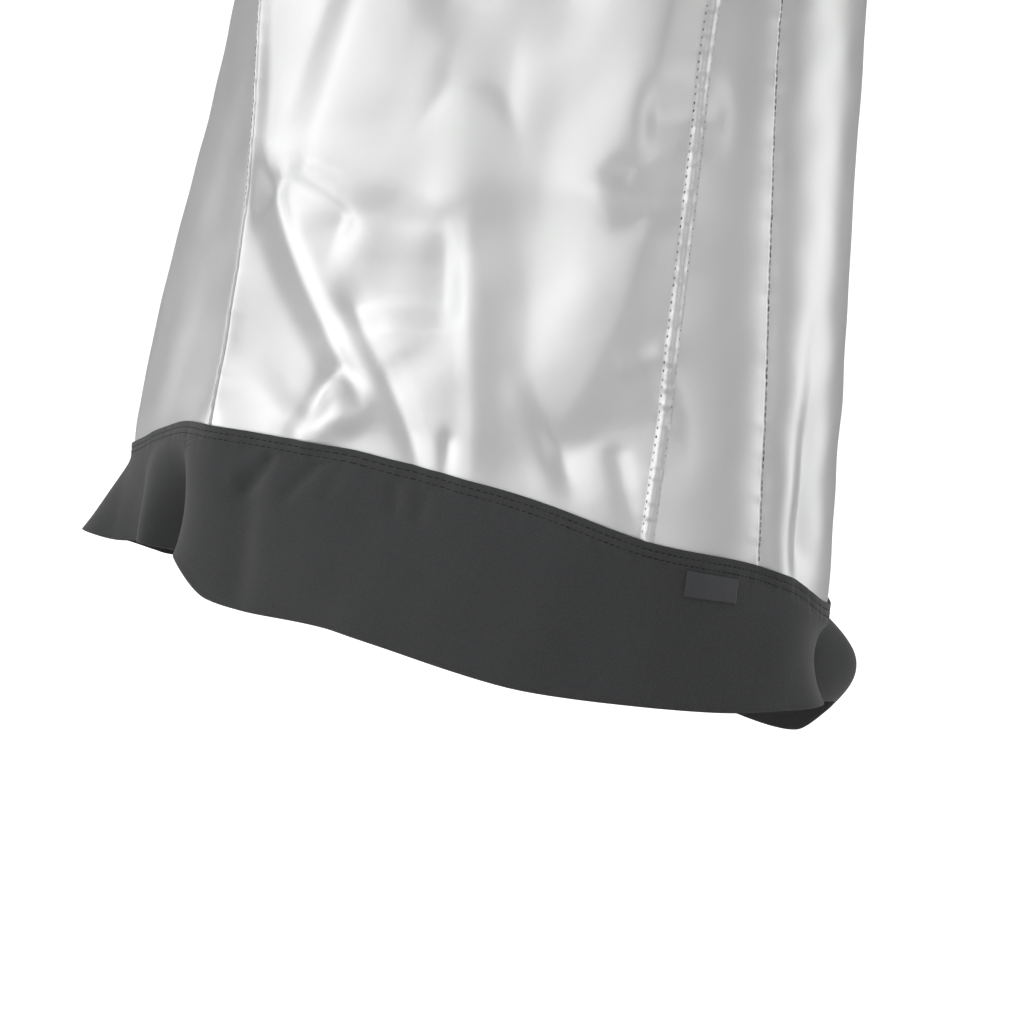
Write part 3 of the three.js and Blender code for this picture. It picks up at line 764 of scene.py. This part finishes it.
# Label: a small blank patch of dark ribbed tape, sewn flat on the band under the gusset.
# Its two ends are drawn down a little by their stitches.
LABEL_TURN = 55.4
LABEL_SPREAD = 5
LABEL_COLUMNS = 34
LABEL_ROWS = np.linspace(-33, -12, 21)
LABEL_LIFT = 1.3
LABEL_SINK = 0.3
LABEL_END = 0.08
LABEL_CLOTH = 0.6


def label_turns(across, rise):
    return LABEL_TURN + LABEL_SPREAD * (2 * across - 1)


def label_height(turn, rise):
    """Flat on the band, drawn down a little where its two ends are sewn."""
    end = 1 - np.abs((turn - LABEL_TURN) / LABEL_SPREAD)
    return band_height(turn, rise) + LABEL_LIFT - LABEL_SINK * np.exp(-end / LABEL_END)


def label_tape():
    """Dark grey tape with fine ribs across it, with painted shade in the grooves between the ribs
    and the rib tops painted paler.
    """
    material, tree, shader = new_material("label_tape")
    shader.inputs["Roughness"].default_value = 0.55
    shader.inputs["Sheen Weight"].default_value = 0.2
    ribs_and_groove_shade = threads(tree, "Y", Scale=700.0, Distortion=0.6, Detail=1.0)
    # Painted shade: the pattern that raises the ribs also paints the grooves darker and the rib
    # tops paler.
    two_tones(tree, shader, ribs_and_groove_shade, (0, (0.042, 0.043, 0.046)), (1, (0.072, 0.073, 0.078)))
    raised(tree, shader, ribs_and_groove_shade, Strength=0.4, Distance=0.0003)
    return material


label = lay_sheet("label_patch", LABEL_COLUMNS, LABEL_ROWS, label_turns, label_height)
thicken(label, LABEL_CLOTH)
label.data.materials.append(label_tape())
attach(label, "root")
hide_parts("label")

# Stage: a plain pale floor that rises far away into a pale surround, soft lights and a
# camera, in metres. Floor and surround show white, and give the cloth a softer light.
FLOOR = -1.30
FLOOR_HALF = 12.0
FLOOR_CELLS = 64
FLAT_RADIUS = 4.0
FLOOR_CURVE = 0.16
FLOOR_TONE = (0.78, 0.78, 0.78, 1)
FLOOR_GLOW = 0.93
ROOM_LIGHT = 0.46
bpy.ops.object.select_all(action="DESELECT")
bpy.ops.mesh.primitive_grid_add(
    x_subdivisions=FLOOR_CELLS, y_subdivisions=FLOOR_CELLS, size=2 * FLOOR_HALF,
)
floor = bpy.context.object
floor.name = "floor"
for vertex in floor.data.vertices:
    past_flat = max(0.0, math.hypot(vertex.co.x, vertex.co.y) - FLAT_RADIUS)
    vertex.co.z = FLOOR + FLOOR_CURVE * past_flat ** 2
bpy.ops.object.shade_smooth()


def white_for_camera(tree, lit, seen, output):
    """Shows one shader to the camera, and lights the scene by the other."""
    path = node(tree, "ShaderNodeLightPath", (-300, 200))
    choose = node(tree, "ShaderNodeMixShader", (250, 0))
    tree.links.new(path.outputs["Is Camera Ray"], choose.inputs[0])
    tree.links.new(lit.outputs[0], choose.inputs[1])
    tree.links.new(seen.outputs[0], choose.inputs[2])
    tree.links.new(choose.outputs[0], tree.nodes[output].inputs["Surface"])


pale_floor, tree, shader = new_material("pale_floor")
shader.inputs["Base Color"].default_value = FLOOR_TONE
shader.inputs["Roughness"].default_value = 0.9
glow = node(tree, "ShaderNodeEmission", (-200, -300), Strength=FLOOR_GLOW)
glowing = node(tree, "ShaderNodeAddShader", (0, -50))
tree.links.new(shader.outputs[0], glowing.inputs[0])
tree.links.new(glow.outputs[0], glowing.inputs[1])
white_for_camera(tree, shader, glowing, "Material Output")
floor.data.materials.append(pale_floor)

studio = bpy.data.worlds.new("studio")
studio.use_nodes = True
bpy.context.scene.world = studio
tree = studio.node_tree
room = tree.nodes["Background"]
room.inputs["Color"].default_value = (1, 1, 1, 1)
room.inputs["Strength"].default_value = ROOM_LIGHT
surround = node(tree, "ShaderNodeBackground", (0, -200), Strength=1.0)
white_for_camera(tree, room, surround, "World Output")

# Soft lights, each by its angle from the front and above the level, its distance from the
# lower part of the cover, its width and its power.
LIGHTS_AIM = np.array([0.0, 0.0, -0.9])
Light = namedtuple("Light", "azimuth elevation distance width power")
LIGHTS = {
    "key": Light(-45, 9, 2.4, 1.9, 16.8),
    "low": Light(-56, -18, 0.9, 0.32, 0.6),
    "fill": Light(30, 8, 2.6, 1.4, 5.8),
    "top": Light(10, 70, 3.0, 2.0, 5),
    "rim": Light(105, 14, 2.2, 1.6, 10),
}
for name, light in LIGHTS.items():
    azimuth, elevation = math.radians(light.azimuth), math.radians(light.elevation)
    way = np.array([
        math.sin(azimuth) * math.cos(elevation),
        -math.cos(azimuth) * math.cos(elevation),
        math.sin(elevation),
    ])
    bpy.ops.object.light_add(type="AREA", location=tuple(LIGHTS_AIM + way * light.distance))
    lamp = bpy.context.object
    lamp.name = name
    lamp.data.shape = "SQUARE"
    lamp.data.size = light.width
    lamp.data.energy = light.power
    lamp.rotation_euler = (math.radians(90) - elevation, 0, azimuth)

CAMERA_PLACE = (0.6383, -0.9271, -0.8983)
CAMERA_YAW = math.radians(32)
CAMERA_PITCH = math.radians(8)
CAMERA_ROLL = math.radians(-9.5)
LENS = 52.73
SENSOR = 36
forward = np.array([
    -math.sin(CAMERA_YAW) * math.cos(CAMERA_PITCH),
    math.cos(CAMERA_YAW) * math.cos(CAMERA_PITCH),
    -math.sin(CAMERA_PITCH),
])
level = np.array([math.cos(CAMERA_YAW), math.sin(CAMERA_YAW), 0])
upright = np.cross(level, forward)
side = math.cos(CAMERA_ROLL) * level - math.sin(CAMERA_ROLL) * upright
top = math.sin(CAMERA_ROLL) * level + math.cos(CAMERA_ROLL) * upright
bpy.ops.object.camera_add()
camera = bpy.context.object
turned = Matrix((side, top, -forward)).transposed().to_4x4()
camera.matrix_world = Matrix.Translation(CAMERA_PLACE) @ turned
camera.data.lens = LENS
camera.data.sensor_width = SENSOR
bpy.context.scene.camera = camera
bpy.context.scene.view_settings.view_transform = "Standard"
